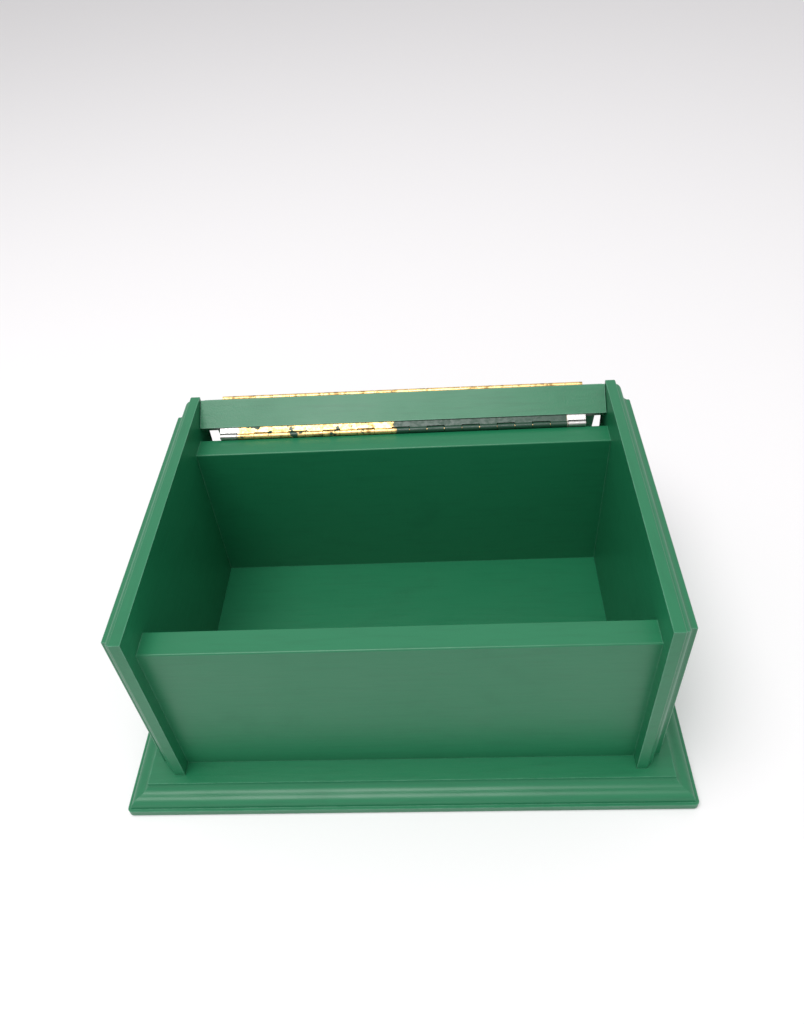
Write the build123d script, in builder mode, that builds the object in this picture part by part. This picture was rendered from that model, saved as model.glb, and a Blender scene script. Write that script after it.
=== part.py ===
"""A painted wooden jewellery box with a brass piano hinge and a folding lid, thrown back behind the box."""

from build123d import *
import math
import os

os.makedirs("parts", exist_ok=True)

# Box, in millimetres. X runs across, Y to the back, Z up, from the centre of the base's underside.
inner_width = 220.0
base_thickness = 12.7
base_front_reveal = 14.6
base_side_reveal = 15.5
base_round = 4.3
base_lip = 4.1
base_quirk = 1.6
base_corner = 2.4
side_thickness = 12.7
side_depth = 167.3
side_height = 106.8
side_thin = 5.4
side_step = 1.6
side_round = 3.0
arris = 0.8
panel_thickness = 12.7
panel_height = 90.5
front_setback = 6.9
inner_depth = 117.2

# Lid boards and their clearances
board_thickness = 4.5
board_side_gap = 0.4
board_seat_gap = 0.3
flap_depth = 15.9
flap_standoff = 4.9
board_seam = 3.6
lid_bevel = 7.0
flap_tilt = 36.0
floor_gap = 0.4

# Piano hinges
knuckle_count = 21
knuckle_pitch = 9.4
knuckle_gap = 0.3
barrel_radius = 1.5
pin_radius = 0.7
pin_clearance = 0.05
leaf_thickness = 0.9
leaf_width = 10.8
leaf_root_gap = 0.35
kerf_clearance = 0.05
axis_rise = 1.6

# Screws
leaf_screw_radius = 0.9
leaf_screw_head = 1.8
leaf_screw_count = 7
leaf_screw_pitch = 28.2
leaf_screw_inset = 3.6
panel_screw_length = 9.0
board_screw_length = 3.6
screw_clearance = 0.05
slot_width = 0.5
slot_depth = 0.35
base_screw_radius = 1.9
base_screw_head = 3.8
base_screw_length = 32.0
base_screw_spacing = 62.0
base_screw_count = 3

# Places worked out from the sizes
half_inner = inner_width / 2
half_depth = side_depth / 2
base_width = inner_width + 2 * (side_thickness + base_side_reveal)
base_depth = side_depth + 2 * base_front_reveal
side_top = base_thickness + side_height
panel_top = base_thickness + panel_height
front_face = -half_depth + front_setback
back_face = front_face + panel_thickness + inner_depth
back_rear = back_face + panel_thickness
hinge_length = knuckle_count * knuckle_pitch
knuckle_length = knuckle_pitch - knuckle_gap
leaf_root = barrel_radius + leaf_root_gap
bore_radius = pin_radius + pin_clearance
board_width = inner_width - 2 * board_side_gap
axis_y = back_rear + leaf_thickness / 2
axis_z = panel_top + axis_rise
underside = axis_rise - board_seat_gap
top_side = underside - board_thickness
seam_reach = flap_standoff + flap_depth + board_seam / 2
tilt = math.radians(flap_tilt)
second_drop = top_side - leaf_thickness / 2
second_y = axis_y + seam_reach * math.cos(tilt) - second_drop * math.sin(tilt)
second_z = axis_z + seam_reach * math.sin(tilt) + second_drop * math.cos(tilt)
lid_reach = axis_y - seam_reach - front_face
corner_angle = math.atan2(leaf_thickness / 2, lid_reach)
corner_radius = math.hypot(lid_reach, leaf_thickness / 2)
lid_lean = math.asin((second_z - floor_gap) / corner_radius) + corner_angle


def hinge_plane(y, z, angle):
    """A plane on a hinge line, with its Y along a leaf that rises at an angle and its Z square to the leaf."""
    normal = (0, -math.sin(angle), math.cos(angle))
    return Plane(origin=(0, y, z), x_dir=(1, 0, 0), z_dir=normal)


fixed_plane = hinge_plane(axis_y, axis_z, -math.pi / 2)
flap_plane = hinge_plane(axis_y, axis_z, tilt)
flap_end_plane = hinge_plane(second_y, second_z, tilt + math.pi)
lid_plane = hinge_plane(second_y, second_z, -lid_lean)


def knuckle_places(start):
    """Centres along the hinge of every second knuckle, from the given one."""
    middle = (knuckle_count - 1) / 2
    return [(index - middle) * knuckle_pitch for index in range(start, knuckle_count, 2)]


def screw_places():
    """Places along a leaf of its screws."""
    middle = (leaf_screw_count - 1) / 2
    return [(index - middle) * leaf_screw_pitch for index in range(leaf_screw_count)]


def write(piece, name):
    """Labels a finished piece and writes its file."""
    piece.part.label = name
    export_step(piece.part, f"parts/{name}.step")


def hinge_leaf(plane, start, outer_side, screwed):
    """A leaf with its own knuckles, bored for the pin and countersunk on its outer side."""
    across = Plane(origin=plane.origin, x_dir=plane.y_dir, z_dir=plane.x_dir)
    own = knuckle_places(start)
    with BuildPart() as leaf:
        with BuildSketch(plane.offset(-leaf_thickness / 2)):
            with Locations((0, (leaf_root + leaf_width) / 2)):
                Rectangle(hinge_length, leaf_width - leaf_root)
            with Locations(*[(x, leaf_root / 2) for x in own]):
                Rectangle(knuckle_length, leaf_root)
        extrude(amount=leaf_thickness)
        with BuildSketch(*[across.offset(x - knuckle_length / 2) for x in own]):
            Circle(barrel_radius)
        extrude(amount=knuckle_length)
        with BuildSketch(across.offset(-hinge_length / 2)):
            Circle(bore_radius)
        extrude(amount=hinge_length, mode=Mode.SUBTRACT)
        if screwed:
            with Locations(*screw_locations(plane, outer_side)):
                CounterSinkHole(leaf_screw_radius + screw_clearance, leaf_screw_head + screw_clearance,
                                depth=2 * leaf_thickness, counter_sink_angle=90)
    return leaf


def screw_locations(plane, outer_side):
    """Where the screws enter a leaf, on the side that their heads show."""
    face = plane.offset(outer_side * leaf_thickness / 2)
    places = []
    for x in screw_places():
        point = face.from_local_coords(Vector(x, leaf_width - leaf_screw_inset, 0))
        places.append(Plane(origin=point, x_dir=(1, 0, 0), z_dir=plane.z_dir * outer_side).location)
    return places


def screw_group(places, radius, head, length):
    """Countersunk slotted screws at the given places, each a solid of its own."""
    with BuildPart() as screw:
        with BuildSketch(Plane.XZ):
            with BuildLine():
                Polyline((0, 0), (head, 0), (radius, radius - head), (radius, radius - length),
                         (0, -length), close=True)
            make_face()
        revolve(axis=Axis.Z)
        with Locations((0, 0, 0)):
            Box(2 * head, slot_width, 2 * slot_depth, mode=Mode.SUBTRACT)
    with BuildPart() as group:
        with Locations(*places):
            add(screw.part)
    return group


def hinge_pin(plane):
    """The wire that joins a hinge's two leaves."""
    across = Plane(origin=plane.origin, x_dir=plane.y_dir, z_dir=plane.x_dir)
    with BuildPart() as pin:
        with BuildSketch(across.offset(-hinge_length / 2)):
            Circle(pin_radius)
        extrude(amount=hinge_length)
    return pin


def base_mould(plane):
    """What the moulding cutter takes off one edge of the base: a cove over a round, down to the lip."""
    out = base_front_reveal + 2
    reveal = 2 * base_round
    with BuildSketch(plane) as profile:
        with BuildLine():
            Line((reveal, 0), (reveal, 2))
            Line((reveal, 2), (-out, 2))
            Line((-out, 2), (-out, -reveal))
            Line((-out, -reveal), (0, -reveal))
            RadiusArc((0, -reveal), (base_round, -base_round), base_round)
            RadiusArc((base_round, -base_round), (reveal, 0), -base_round)
        make_face()
    return profile


def side_mould(plane):
    """What the cutter takes off one outer edge of a side: step, round and cove, with eased corners."""
    first = side_step
    second = first + side_round
    third = second + side_round
    thin = side_thin
    out = side_thickness + 2
    with BuildSketch(plane) as profile:
        with BuildLine():
            Line((thin - arris, 2), (thin - arris, 0))
            RadiusArc((thin - arris, 0), (thin, -arris), arris)
            Line((thin, -arris), (thin, -first))
            RadiusArc((thin, -first), (thin + side_round, -second), side_round)
            RadiusArc((thin + side_round, -second), (thin + 2 * side_round, -third), -side_round)
            Line((thin + 2 * side_round, -third), (side_thickness - arris, -third))
            RadiusArc((side_thickness - arris, -third), (side_thickness, -third - arris), arris)
            Line((side_thickness, -third - arris), (out, -third - arris))
            Line((out, -third - arris), (out, 2))
            Line((out, 2), (thin - arris, 2))
        make_face()
    return profile


# Base plank, moulded on its four edges and drilled for the screws that hold the sides
mould_top = base_lip + 2 * base_round
base_half_x = base_width / 2 - base_quirk
base_half_y = base_depth / 2 - base_quirk
mould_planes = [
    Plane(origin=(0, -base_half_y, mould_top), x_dir=(0, 1, 0), z_dir=(1, 0, 0)),
    Plane(origin=(0, base_half_y, mould_top), x_dir=(0, -1, 0), z_dir=(-1, 0, 0)),
    Plane(origin=(-base_half_x, 0, mould_top), x_dir=(1, 0, 0), z_dir=(0, -1, 0)),
    Plane(origin=(base_half_x, 0, mould_top), x_dir=(-1, 0, 0), z_dir=(0, 1, 0)),
]
mould_sketches = [base_mould(plane) for plane in mould_planes]

base_screw_places = []
for side in (-1, 1):
    for row in range(base_screw_count):
        screw_y = (row - (base_screw_count - 1) / 2) * base_screw_spacing
        screw_x = side * (half_inner + side_thickness / 2)
        base_screw_places.append(Plane(origin=(screw_x, screw_y, 0), z_dir=(0, 0, -1)).location)

with BuildPart() as base_plank:
    with BuildSketch():
        RectangleRounded(base_width, base_depth, base_corner)
    extrude(amount=base_thickness)
    for profile in mould_sketches:
        extrude(profile.sketch, amount=base_width, both=True, mode=Mode.SUBTRACT)
    lip_edges = base_plank.faces().sort_by(Axis.Z)[0].edges()
    chamfer(lip_edges, length=arris)
    with Locations(*base_screw_places):
        CounterSinkHole(base_screw_radius + screw_clearance, base_screw_head + screw_clearance,
                        depth=2 * base_thickness, counter_sink_angle=90)

# Sides, moulded on the outer arris of the top, front and rear edges
side_planes = [
    Plane(origin=(half_inner, 0, side_top), x_dir=(1, 0, 0), z_dir=(0, -1, 0)),
    Plane(origin=(half_inner, -half_depth, side_top), x_dir=(1, 0, 0), z_dir=(0, 0, -1)),
    Plane(origin=(half_inner, half_depth, side_top), x_dir=(1, 0, 0), z_dir=(0, 0, 1)),
]
side_sketches = [side_mould(plane) for plane in side_planes]

with BuildPart() as right_side:
    with BuildSketch(Plane.XY.offset(base_thickness)):
        with Locations((half_inner + side_thickness / 2, 0)):
            Rectangle(side_thickness, side_depth)
    extrude(amount=side_height)
    for profile in side_sketches:
        extrude(profile.sketch, amount=side_depth, both=True, mode=Mode.SUBTRACT)
    with Locations(*base_screw_places[base_screw_count:]):
        Hole(base_screw_radius + screw_clearance, depth=base_screw_length + screw_clearance)

with BuildPart() as left_side:
    add(mirror(right_side.part, about=Plane.YZ, mode=Mode.PRIVATE))


def cross_panel(front):
    """A plank between the sides with eased top arrises."""
    with BuildPart() as panel:
        with BuildSketch(Plane.XY.offset(base_thickness)):
            with Locations((0, front + panel_thickness / 2)):
                Rectangle(inner_width, panel_thickness)
        extrude(amount=panel_height)
        fillet(panel.edges().filter_by(Axis.X).group_by(Axis.Z)[-1], radius=arris)
    return panel


front_panel = cross_panel(front_face)
leaf_screw_spots = screw_locations(fixed_plane, 1)
back_blank = cross_panel(back_face)
with BuildPart() as back_panel:
    add(back_blank.part)
    with Locations(*leaf_screw_spots):
        Hole(leaf_screw_radius + screw_clearance, depth=panel_screw_length + screw_clearance)

# Rear hinge between the back panel and the flap
rear_hinge_fixed_leaf = hinge_leaf(fixed_plane, 0, 1, True)
rear_hinge_moving_leaf = hinge_leaf(flap_plane, 1, 1, False)
rear_hinge_pin = hinge_pin(fixed_plane)
rear_hinge_screws = screw_group(leaf_screw_spots, leaf_screw_radius, leaf_screw_head, panel_screw_length)

# Flap: the narrow rear board, with a saw kerf that holds the hinge's leaf
flap_screw_spots = screw_locations(flap_end_plane, 1)
with BuildPart() as lid_flap:
    with BuildSketch(flap_plane.offset(top_side)):
        with Locations((0, flap_standoff + flap_depth / 2)):
            Rectangle(board_width, flap_depth)
    extrude(amount=board_thickness)
    with BuildSketch(flap_plane.offset(-leaf_thickness / 2 - kerf_clearance)):
        with Locations((0, leaf_width / 2)):
            Rectangle(hinge_length + 2 * kerf_clearance, leaf_width + 2 * kerf_clearance)
    extrude(amount=leaf_thickness + 2 * kerf_clearance, mode=Mode.SUBTRACT)
    with Locations(*flap_screw_spots):
        Hole(leaf_screw_radius + screw_clearance, depth=board_screw_length + screw_clearance)

# Lid hinge, on the boards' upper faces
lid_hinge_fixed_leaf = hinge_leaf(flap_end_plane, 0, 1, True)
lid_hinge_moving_leaf = hinge_leaf(lid_plane, 1, -1, True)
lid_hinge_pin = hinge_pin(lid_plane)
lid_hinge_flap_screws = screw_group(flap_screw_spots, leaf_screw_radius, leaf_screw_head, board_screw_length)
lid_screw_spots = screw_locations(lid_plane, -1)
lid_hinge_lid_screws = screw_group(lid_screw_spots, leaf_screw_radius, leaf_screw_head, board_screw_length)

# Lid: the wide board, bevelled under its hinged edge and eased round the rest
lid_length_plane = Plane(origin=lid_plane.origin, x_dir=lid_plane.y_dir, z_dir=lid_plane.x_dir)
lid_low = leaf_thickness / 2
lid_high = lid_low + board_thickness
with BuildPart() as lid_panel:
    with BuildSketch(lid_length_plane.offset(-board_width / 2)):
        with BuildLine():
            Polyline((board_seam / 2, lid_low), (lid_reach, lid_low), (lid_reach, lid_high),
                     (lid_bevel, lid_high), (board_seam / 2, lid_low + arris), close=True)
        make_face()
    extrude(amount=board_width)
    with Locations(*lid_screw_spots):
        Hole(leaf_screw_radius + screw_clearance, depth=board_screw_length + screw_clearance)

base_screws = screw_group(base_screw_places, base_screw_radius, base_screw_head, base_screw_length)

pieces = {
    "base_plank": base_plank,
    "left_side": left_side,
    "right_side": right_side,
    "front_panel": front_panel,
    "back_panel": back_panel,
    "base_screws": base_screws,
    "rear_hinge_fixed_leaf": rear_hinge_fixed_leaf,
    "rear_hinge_moving_leaf": rear_hinge_moving_leaf,
    "rear_hinge_pin": rear_hinge_pin,
    "rear_hinge_screws": rear_hinge_screws,
    "lid_flap": lid_flap,
    "lid_hinge_fixed_leaf": lid_hinge_fixed_leaf,
    "lid_hinge_moving_leaf": lid_hinge_moving_leaf,
    "lid_hinge_pin": lid_hinge_pin,
    "lid_hinge_flap_screws": lid_hinge_flap_screws,
    "lid_hinge_lid_screws": lid_hinge_lid_screws,
    "lid_panel": lid_panel,
}
for piece_name, piece in pieces.items():
    write(piece, piece_name)

print("rear hinge line y, z:", round(axis_y, 3), round(axis_z, 3))
print("lid hinge line y, z:", round(second_y, 3), round(second_z, 3))
print("flap closes through", round(180 - flap_tilt, 2), "degrees")
print("lid comes in line through", round(flap_tilt + math.degrees(lid_lean), 2), "degrees")
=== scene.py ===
# Green painted jewellery box with its folding lid thrown back on brass piano hinges
import math

import bpy
from mathutils import Matrix, Vector

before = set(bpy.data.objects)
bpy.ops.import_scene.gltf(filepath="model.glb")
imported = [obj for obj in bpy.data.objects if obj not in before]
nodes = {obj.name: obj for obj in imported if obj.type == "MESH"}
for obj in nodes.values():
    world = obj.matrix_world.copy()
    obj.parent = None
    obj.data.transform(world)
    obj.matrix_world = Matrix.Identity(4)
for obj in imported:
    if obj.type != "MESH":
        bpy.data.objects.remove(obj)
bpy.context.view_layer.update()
print("frame loaded, nodes:", len(nodes))


# material helpers

def newMaterial(name):
    mat = bpy.data.materials.new(name)
    mat.use_nodes = True
    tree = mat.node_tree
    tree.nodes.clear()
    shader = addNode(tree, "ShaderNodeBsdfPrincipled")
    out = addNode(tree, "ShaderNodeOutputMaterial")
    tree.links.new(shader.outputs[0], out.inputs[0])
    return mat, tree, shader


def addNode(tree, kind, **settings):
    node = tree.nodes.new(kind)
    for key, value in settings.items():
        setattr(node, key, value)
    return node


def setInput(tree, node, socket, value):
    # a link if value is a socket, a plain number or colour otherwise
    if isinstance(value, bpy.types.NodeSocket):
        tree.links.new(value, node.inputs[socket])
    else:
        node.inputs[socket].default_value = value


def mathNode(tree, operation, *values):
    node = addNode(tree, "ShaderNodeMath", operation=operation)
    for socket, value in enumerate(values):
        setInput(tree, node, socket, value)
    return node.outputs[0]


def mixColor(tree, factor, first, second):
    node = addNode(tree, "ShaderNodeMix", data_type="RGBA")
    setInput(tree, node, 0, factor)
    setInput(tree, node, 6, first)  # sockets 6 and 7 are the two colours
    setInput(tree, node, 7, second)
    return node.outputs[2]


def ramp(tree, value, limits, fromValue=0.0, toValue=1.0):
    # a smooth step between the two limits
    node = addNode(tree, "ShaderNodeMapRange", interpolation_type="SMOOTHSTEP")
    setInput(tree, node, "Value", value)
    setInput(tree, node, "From Min", limits[0])
    setInput(tree, node, "From Max", limits[1])
    setInput(tree, node, "To Min", fromValue)
    setInput(tree, node, "To Max", toValue)
    return node.outputs["Result"]


def noise(tree, vector, scale, detail=3.0, roughness=0.55, distortion=0.0):
    node = addNode(tree, "ShaderNodeTexNoise")
    setInput(tree, node, "Vector", vector)
    setInput(tree, node, "Scale", scale)
    setInput(tree, node, "Detail", detail)
    setInput(tree, node, "Roughness", roughness)
    setInput(tree, node, "Distortion", distortion)
    return node.outputs["Fac"]


def stretched(tree, stretch, shift):
    # object coordinates, squeezed along the grain so that noise draws out into streaks
    coords = addNode(tree, "ShaderNodeTexCoord")
    mapping = addNode(tree, "ShaderNodeMapping")
    setInput(tree, mapping, "Vector", coords.outputs["Object"])
    setInput(tree, mapping, "Location", shift)
    setInput(tree, mapping, "Scale", stretch)
    return mapping.outputs["Vector"]


def placeAcross(tree):
    # a point's X on the box, and how far that is from the middle
    coords = addNode(tree, "ShaderNodeTexCoord")
    split = addNode(tree, "ShaderNodeSeparateXYZ")
    setInput(tree, split, 0, coords.outputs["Object"])
    across = split.outputs["X"]
    return across, mathNode(tree, "ABSOLUTE", across)


def edgeMask(tree, radius, limits):
    # 0 on flats and 1 on arrises, from how far a rounded normal turns from the true one
    bevel = addNode(tree, "ShaderNodeBevel", samples=6)
    setInput(tree, bevel, "Radius", radius)
    geometry = addNode(tree, "ShaderNodeNewGeometry")
    dot = addNode(tree, "ShaderNodeVectorMath", operation="DOT_PRODUCT")
    setInput(tree, dot, 0, bevel.outputs[0])
    setInput(tree, dot, 1, geometry.outputs["Normal"])
    turned = mathNode(tree, "SUBTRACT", 1.0, dot.outputs["Value"])
    return ramp(tree, turned, limits)


def addBump(tree, shader, height, strength, depth):
    bump = addNode(tree, "ShaderNodeBump")
    setInput(tree, bump, "Strength", strength)
    setInput(tree, bump, "Distance", depth)
    setInput(tree, bump, "Height", height)
    setInput(tree, shader, "Normal", bump.outputs[0])


# green paint, one recipe for every board; scales are per metre, lengths in metres
evenly = (1.0, 1.0, 1.0)
paint = {
    "color": (0.010, 0.165, 0.070, 1.0),
    "deep": (0.004, 0.105, 0.043, 1.0),
    "rubbed": (0.10, 0.30, 0.19, 1.0),
    "roughness": 0.30,
    "roughnessSpread": 0.16,
    "specular": 0.5,
    "cloudScale": 28.0,
    "brushScale": 420.0,
    "fineScale": 1500.0,
    "blotchLimits": (0.56, 0.78),
    "streakLimits": (0.45, 0.72),
    "wearScale": 130.0,
    "wearLimits": (0.42, 0.6),
    "leastWear": 0.5,  # share of the wear that every arris has
    "wearSpread": 0.45,
    "edgeRadius": 0.0012,
    "edgeLimits": (0.04, 0.22),
    "brushHeight": 0.6,
    "fineHeight": 0.25,
    "bumpStrength": 0.35,
    "bumpDepth": 0.0004,
}
# lumpy paint towards a board's two ends
lumpyEnds = {
    "stretch": (0.6, 1.0, 1.0),
    "limits": (0.045, 0.105),
    "scale": 620.0,
    "detail": 4.0,
    "roughness": 0.7,
    "distortion": 1.2,
}


def makePaint(name, grain, shift, streaks, blotches, lumps=0.0):
    mat, tree, shader = newMaterial(name)
    along = stretched(tree, grain, shift)
    plain = stretched(tree, evenly, shift)
    cloud = noise(tree, plain, paint["cloudScale"], 4.0, 0.6)
    brush = noise(tree, along, paint["brushScale"], 3.0, 0.6)
    fine = noise(tree, plain, paint["fineScale"], 2.0, 0.5)
    # colour: darker blotches, then brush streaks, then paint rubbed thin on the arrises
    blotch = ramp(tree, cloud, paint["blotchLimits"], 0.0, blotches)
    body = mixColor(tree, blotch, paint["color"], paint["deep"])
    streak = ramp(tree, brush, paint["streakLimits"], 0.0, streaks)
    body = mixColor(tree, streak, body, paint["deep"])
    wear = ramp(tree, noise(tree, plain, paint["wearScale"], 4.0, 0.7), paint["wearLimits"])
    wear = mathNode(tree, "MULTIPLY_ADD", wear, paint["wearSpread"], paint["leastWear"])
    edge = edgeMask(tree, paint["edgeRadius"], paint["edgeLimits"])
    body = mixColor(tree, mathNode(tree, "MULTIPLY", edge, wear), body, paint["rubbed"])
    rough = mathNode(tree, "MULTIPLY_ADD", cloud, paint["roughnessSpread"], paint["roughness"])
    # height: brush marks and a fine tooth
    height = mathNode(tree, "MULTIPLY", brush, paint["brushHeight"])
    height = mathNode(tree, "ADD", height, mathNode(tree, "MULTIPLY", fine, paint["fineHeight"]))
    if lumps > 0:
        away = placeAcross(tree)[1]
        near = ramp(tree, away, lumpyEnds["limits"])
        lump = noise(tree, stretched(tree, lumpyEnds["stretch"], shift), lumpyEnds["scale"],
                     lumpyEnds["detail"], lumpyEnds["roughness"], lumpyEnds["distortion"])
        lifted = mathNode(tree, "MULTIPLY", near, mathNode(tree, "MULTIPLY", lump, lumps))
        height = mathNode(tree, "ADD", height, lifted)
    setInput(tree, shader, "Base Color", body)
    setInput(tree, shader, "Roughness", rough)
    setInput(tree, shader, "Specular IOR Level", paint["specular"])
    addBump(tree, shader, height, paint["bumpStrength"], paint["bumpDepth"])
    return mat


# hinge metal: worn brass, bare grey at the ends, and painted shade, a near-black green, over the right
# half where the barrel reflects dark, with painted reflection patches on the left
brass = {
    "color": (0.80, 0.56, 0.24, 1.0),
    "tarnish": (0.30, 0.19, 0.07, 1.0),
    "grey": (0.46, 0.45, 0.44, 1.0),
    # painted shade colour for the hinge's dark right half, standing in for its dark reflection
    "shadeColor": (0.004, 0.045, 0.022, 1.0),
    "shift": (0.3, 0.1, 0.7),
    "tarnishScale": 240.0,
    "tarnishLimits": (0.46, 0.66),
    "roughScale": 500.0,
    "roughLimits": (0.35, 0.7),
    "roughness": 0.28,
    "roughestValue": 0.5,
    "greyLimits": (0.0885, 0.0891),  # distance from the middle where the plating is bare
    "shadeLimits": (-0.004, -0.0028),  # where along X the painted shade starts
    "raggedScale": 90.0,
    "raggedReach": 0.02,
    "reflectionPatchScale": 160.0,
    "reflectionPatchLimits": (0.58, 0.62),
    "pitScale": 900.0,
    "bumpStrength": 0.25,
    "bumpDepth": 0.0002,
}


def makeBrass(name, paintedShadeHalf):
    mat, tree, shader = newMaterial(name)
    plain = stretched(tree, evenly, brass["shift"])
    tarnish = ramp(tree, noise(tree, plain, brass["tarnishScale"], 4.0, 0.65), brass["tarnishLimits"])
    metal = mixColor(tree, tarnish, brass["color"], brass["tarnish"])
    rough = ramp(tree, noise(tree, plain, brass["roughScale"]), brass["roughLimits"],
                 brass["roughness"], brass["roughestValue"])
    if paintedShadeHalf:
        across, away = placeAcross(tree)
        atEnds = ramp(tree, away, brass["greyLimits"])
        metal = mixColor(tree, atEnds, metal, brass["grey"])
        # the painted shade's edge wanders to both sides, and patches of painted green reflection lie on
        # the bright half
        ragged = mathNode(tree, "MULTIPLY_ADD", noise(tree, plain, brass["raggedScale"]),
                          brass["raggedReach"], -brass["raggedReach"] / 2)
        shaded = ramp(tree, mathNode(tree, "ADD", across, ragged), brass["shadeLimits"])
        reflectionPatches = ramp(tree, noise(tree, plain, brass["reflectionPatchScale"], 2.0), brass["reflectionPatchLimits"])
        shaded = mathNode(tree, "MAXIMUM", shaded, reflectionPatches)
        shaded = mathNode(tree, "MULTIPLY", shaded, mathNode(tree, "SUBTRACT", 1.0, atEnds))
        # painted shade: near-black green laid in place of the dark reflection, and the metal is turned off
        # under it
        metal = mixColor(tree, shaded, metal, brass["shadeColor"])
        setInput(tree, shader, "Metallic", mathNode(tree, "SUBTRACT", 1.0, shaded))
    else:
        setInput(tree, shader, "Metallic", 1.0)
    setInput(tree, shader, "Base Color", metal)
    setInput(tree, shader, "Roughness", rough)
    addBump(tree, shader, noise(tree, plain, brass["pitScale"]), brass["bumpStrength"], brass["bumpDepth"])
    return mat


screwMetal = {
    "color": (0.42, 0.42, 0.40, 1.0),
    "dull": (0.22, 0.21, 0.20, 1.0),
    "spotScale": 600.0,
    "spotLimits": (0.45, 0.7),
    "roughness": 0.3,
    "dullRoughness": 0.55,
}


def makeScrewSteel():
    mat, tree, shader = newMaterial("zincScrew")
    plain = stretched(tree, evenly, (0.0, 0.0, 0.0))
    spots = ramp(tree, noise(tree, plain, screwMetal["spotScale"]), screwMetal["spotLimits"])
    rough = ramp(tree, spots, (0.0, 1.0), screwMetal["roughness"], screwMetal["dullRoughness"])
    setInput(tree, shader, "Base Color", mixColor(tree, spots, screwMetal["color"], screwMetal["dull"]))
    setInput(tree, shader, "Metallic", 1.0)
    setInput(tree, shader, "Roughness", rough)
    return mat


# every painted board: its grain, where its pattern starts, and how strong each mark is
grainAlongX = (0.10, 1.0, 1.0)
grainAlongY = (1.0, 0.10, 1.0)
boards = {
    "front_panel": makePaint("frontPanelPaint", grainAlongX, (0.0, 0.0, 0.0), streaks=0.2, blotches=0.35),
    "back_panel": makePaint("backPanelPaint", grainAlongX, (0.4, 0.2, 0.0), streaks=0.2, blotches=0.3),
    "base_plank": makePaint("basePaint", grainAlongX, (0.9, 0.5, 0.1), streaks=0.2, blotches=0.25),
    "left_side": makePaint("leftSidePaint", grainAlongY, (0.2, 0.8, 0.3), streaks=0.2, blotches=0.3),
    "right_side": makePaint("rightSidePaint", grainAlongY, (0.6, 0.1, 0.4), streaks=0.2, blotches=0.3),
    "lid_flap": makePaint("flapPaint", grainAlongX, (0.1, 0.3, 0.9), streaks=0.3, blotches=0.3, lumps=0.9),
    "lid_panel": makePaint("lidPaint", grainAlongX, (0.7, 0.6, 0.2), streaks=0.25, blotches=0.3),
}

# the rear hinge carries the painted shade on its right half
rearBrass = makeBrass("rearHingeBrassPaintedShade", True)
lidBrass = makeBrass("lidHingeBrass", False)
hardware = {
    "base_screws": makeScrewSteel(),
    "rear_hinge_fixed_leaf": rearBrass,
    "rear_hinge_moving_leaf": rearBrass,
    "rear_hinge_pin": lidBrass,
    "rear_hinge_screws": lidBrass,
    "lid_hinge_fixed_leaf": lidBrass,
    "lid_hinge_moving_leaf": lidBrass,
    "lid_hinge_pin": lidBrass,
    "lid_hinge_flap_screws": lidBrass,
    "lid_hinge_lid_screws": lidBrass,
}
sharpAngle = math.radians(32)
finishes = {**boards, **hardware}
for name, mat in finishes.items():
    mesh = nodes[name].data
    mesh.materials.clear()
    mesh.materials.append(mat)
    mesh.polygons.foreach_set("use_smooth", [True] * len(mesh.polygons))
    mesh.set_sharp_from_angle(angle=sharpAngle)
print("finishes set:", len(finishes))


# floor, light and backdrop
studio = {
    "floorHalf": 6.0,
    "floorColor": (0.90, 0.885, 0.895, 1.0),
    "floorRoughness": 0.9,
    "floorSpecular": 0.1,
    "worldColor": (1.0, 0.995, 1.0, 1.0),
    "worldStrength": 0.62,
    "backdrop": (0.92, 0.91, 0.915, 1.0),
    "lampEnergy": 17.0,
    "lampSize": 1.1,
    "lampPlace": (-0.25, -0.35, 1.5),
    "lampAim": (0.0, 0.0, 0.05),
}


def makeFloor():
    mesh = bpy.data.meshes.new("floor")
    half = studio["floorHalf"]
    corners = [(-half, -half, 0), (half, -half, 0), (half, half, 0), (-half, half, 0)]
    mesh.from_pydata(corners, [], [(0, 1, 2, 3)])
    floor = bpy.data.objects.new("floor", mesh)
    bpy.context.scene.collection.objects.link(floor)
    mat, tree, shader = newMaterial("paleFloor")
    setInput(tree, shader, "Base Color", studio["floorColor"])
    setInput(tree, shader, "Roughness", studio["floorRoughness"])
    setInput(tree, shader, "Specular IOR Level", studio["floorSpecular"])
    mesh.materials.append(mat)


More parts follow.
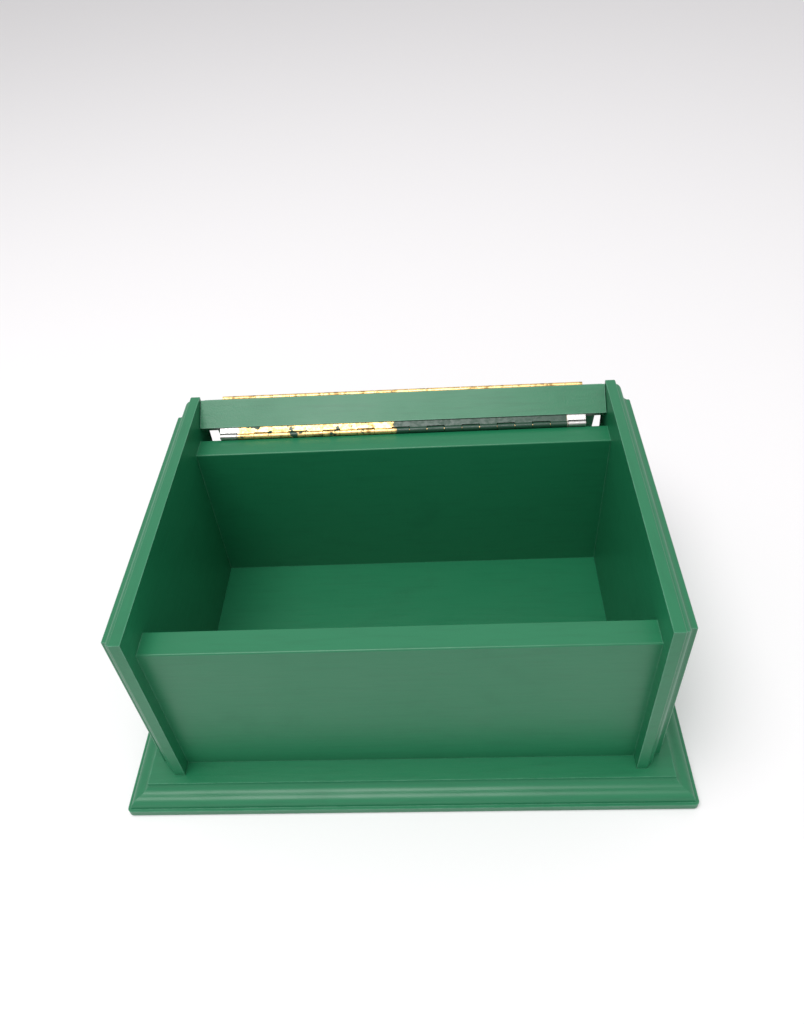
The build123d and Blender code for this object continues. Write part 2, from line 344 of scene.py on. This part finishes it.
def makeWorld():
    # one strength lights the box, and the backdrop's own colour is what the camera and gloss see
    world = bpy.data.worlds.new("studioLight")
    bpy.context.scene.world = world
    world.use_nodes = True
    tree = world.node_tree
    tree.nodes.clear()
    rays = addNode(tree, "ShaderNodeLightPath")
    seen = mathNode(tree, "MAXIMUM", rays.outputs["Is Camera Ray"], rays.outputs["Is Glossy Ray"])
    seen = mathNode(tree, "MAXIMUM", seen, rays.outputs["Is Transmission Ray"])
    lit = addNode(tree, "ShaderNodeBackground")
    setInput(tree, lit, "Color", studio["worldColor"])
    setInput(tree, lit, "Strength", studio["worldStrength"])
    shown = addNode(tree, "ShaderNodeBackground")
    setInput(tree, shown, "Color", studio["backdrop"])
    setInput(tree, shown, "Strength", 1.0)
    mix = addNode(tree, "ShaderNodeMixShader")
    setInput(tree, mix, 0, seen)
    tree.links.new(lit.outputs[0], mix.inputs[1])
    tree.links.new(shown.outputs[0], mix.inputs[2])
    out = addNode(tree, "ShaderNodeOutputWorld")
    tree.links.new(mix.outputs[0], out.inputs[0])


def makeLamp():
    lamp = bpy.data.lights.new("softLamp", "AREA")
    lamp.shape = "DISK"
    lamp.size = studio["lampSize"]
    lamp.energy = studio["lampEnergy"]
    holder = bpy.data.objects.new("softLamp", lamp)
    bpy.context.scene.collection.objects.link(holder)
    holder.location = studio["lampPlace"]
    aim = Vector(studio["lampAim"]) - holder.location
    holder.rotation_euler = aim.to_track_quat("-Z", "Y").to_euler()


# camera worked out from the photo: 804 by 1024, principal point in the middle
view = {
    "place": (0.02447, -0.27815, 0.38073),
    "right": (0.99780, 0.01776, -0.06394),
    "down": (-0.03317, -0.70108, -0.71231),
    "ahead": (-0.05748, 0.71286, -0.69895),
    "focalPixels": 815.8,
    "tallPixels": 1024.0,
    "sensor": 36.0,
    "clipStart": 0.01,
}


def makeCamera():
    data = bpy.data.cameras.new("photoView")
    data.sensor_fit = "VERTICAL"
    data.sensor_height = view["sensor"]
    data.lens = view["focalPixels"] / view["tallPixels"] * view["sensor"]
    data.clip_start = view["clipStart"]
    camera = bpy.data.objects.new("photoView", data)
    bpy.context.scene.collection.objects.link(camera)
    right = Vector(view["right"]).normalized()
    up = -Vector(view["down"]).normalized()
    back = -Vector(view["ahead"]).normalized()
    turn = Matrix((right, up, back)).transposed().to_4x4()
    camera.matrix_world = Matrix.Translation(view["place"]) @ turn
    bpy.context.scene.camera = camera


makeFloor()
makeWorld()
makeLamp()
makeCamera()
bpy.context.scene.view_settings.view_transform = "Standard"
print("studio ready")
